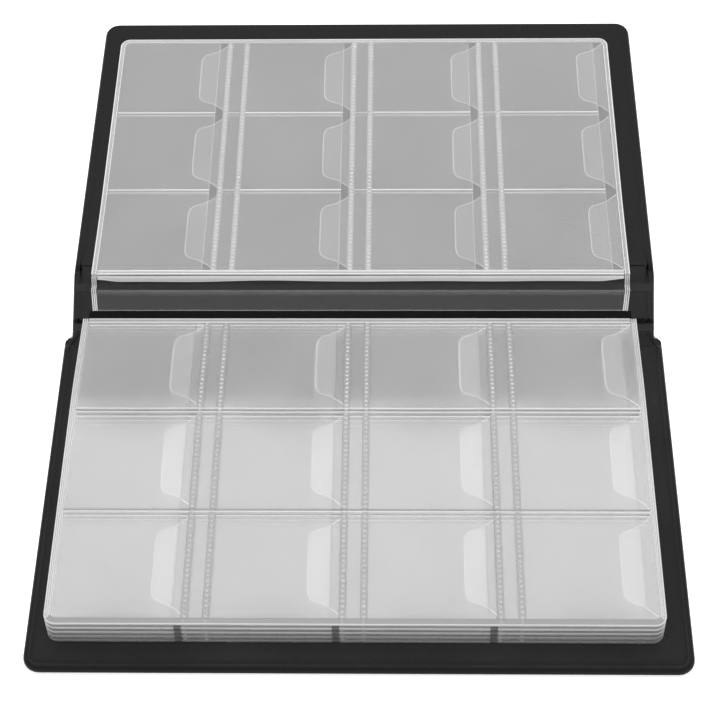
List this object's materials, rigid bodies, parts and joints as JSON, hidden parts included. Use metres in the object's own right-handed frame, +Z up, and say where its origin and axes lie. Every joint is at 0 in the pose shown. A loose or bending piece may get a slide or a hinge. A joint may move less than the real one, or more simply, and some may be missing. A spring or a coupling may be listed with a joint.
{
  "type": "coin album",
  "caption": "Open pocket album for coins: a soft black folding cover with a spine and clear plastic leaves of flapped square pockets.",
  "frame": {"origin": "on the table, under the middle of the spine", "axes": "+X along the spine to the right, +Y towards the front cover's fore-edge, +Z up from the table"},
  "size_m": [0.175, 0.2344, 0.0109],
  "materials": {
    "cover_skin": "black soft plastic with a fine leather grain, satin",
    "cover_lining": "black soft plastic lining with a fine grain, satin",
    "board": "grey board, matt",
    "base_film": "slightly milky clear plastic film",
    "window": "slightly milky clear plastic film",
    "flap": "slightly milky clear plastic film",
    "weld": "welded film, pressed and whitened"
  },
  "bodies": {
    "back_cover": {"back_cover_skin": "cover_skin", "back_cover_board": "board", "back_cover_lining": "cover_lining", "binding_strip": "weld"},
    "spine": {"spine_skin": "cover_skin", "spine_board": "board", "spine_lining": "cover_lining", "spine_film": "base_film"},
    "front_cover": {"front_cover_skin": "cover_skin", "front_cover_board": "board", "front_cover_lining": "cover_lining"},
    "leaf_1": {"leaf_1_base_film": "base_film", "leaf_1_weld_grid": "weld", "leaf_1_flaps": "flap", "leaf_1_windows": "window"},
    "leaf_2": {"leaf_2_base_film": "base_film", "leaf_2_weld_grid": "weld", "leaf_2_flaps": "flap", "leaf_2_windows": "window"},
    "leaf_3": {"leaf_3_base_film": "base_film", "leaf_3_weld_grid": "weld", "leaf_3_flaps": "flap", "leaf_3_windows": "window"},
    "leaf_4": {"leaf_4_base_film": "base_film", "leaf_4_weld_grid": "weld", "leaf_4_flaps": "flap", "leaf_4_windows": "window"},
    "leaf_5": {"leaf_5_base_film": "base_film", "leaf_5_weld_grid": "weld", "leaf_5_flaps": "flap", "leaf_5_windows": "window"},
    "leaf_6": {"leaf_6_base_film": "base_film", "leaf_6_weld_grid": "weld", "leaf_6_flaps": "flap", "leaf_6_windows": "window"}
  },
  "joints": [
    {"name": "spine_fold", "type": "hinge", "parent": "back_cover", "child": "spine", "pos_m": [0, -0.00725, 0.00125], "axis": [1, 0, 0], "range_deg": [0, 90]},
    {"name": "front_cover_fold", "type": "hinge", "parent": "spine", "child": "front_cover", "pos_m": [0, 0.00725, 0.00125], "axis": [1, 0, 0], "range_deg": [0, 90]},
    {"name": "leaf_1_turn", "type": "hinge", "parent": "front_cover", "child": "leaf_1", "pos_m": [0, 0, 0.00792], "axis": [-1, 0, 0], "range_deg": [-178, 0]},
    {"name": "leaf_2_turn", "type": "hinge", "parent": "back_cover", "child": "leaf_2", "pos_m": [0, 0, 0.00792], "axis": [1, 0, 0], "range_deg": [-178, 0]},
    {"name": "leaf_3_turn", "type": "hinge", "parent": "back_cover", "child": "leaf_3", "pos_m": [0, 0, 0.00792], "axis": [1, 0, 0], "range_deg": [-178, 0]},
    {"name": "leaf_4_turn", "type": "hinge", "parent": "back_cover", "child": "leaf_4", "pos_m": [0, 0, 0.00792], "axis": [1, 0, 0], "range_deg": [-178, 0]},
    {"name": "leaf_5_turn", "type": "hinge", "parent": "back_cover", "child": "leaf_5", "pos_m": [0, 0, 0.00792], "axis": [1, 0, 0], "range_deg": [-178, 0]},
    {"name": "leaf_6_turn", "type": "hinge", "parent": "back_cover", "child": "leaf_6", "pos_m": [0, 0, 0.00792], "axis": [1, 0, 0], "range_deg": [-178, 0]}
  ],
  "couplings": [
    {"joint": "leaf_3_turn", "follows": "leaf_2_turn", "ratio": 0.995},
    {"joint": "leaf_4_turn", "follows": "leaf_2_turn", "ratio": 0.99},
    {"joint": "leaf_5_turn", "follows": "leaf_2_turn", "ratio": 0.985},
    {"joint": "leaf_6_turn", "follows": "leaf_2_turn", "ratio": 0.98}
  ]
}
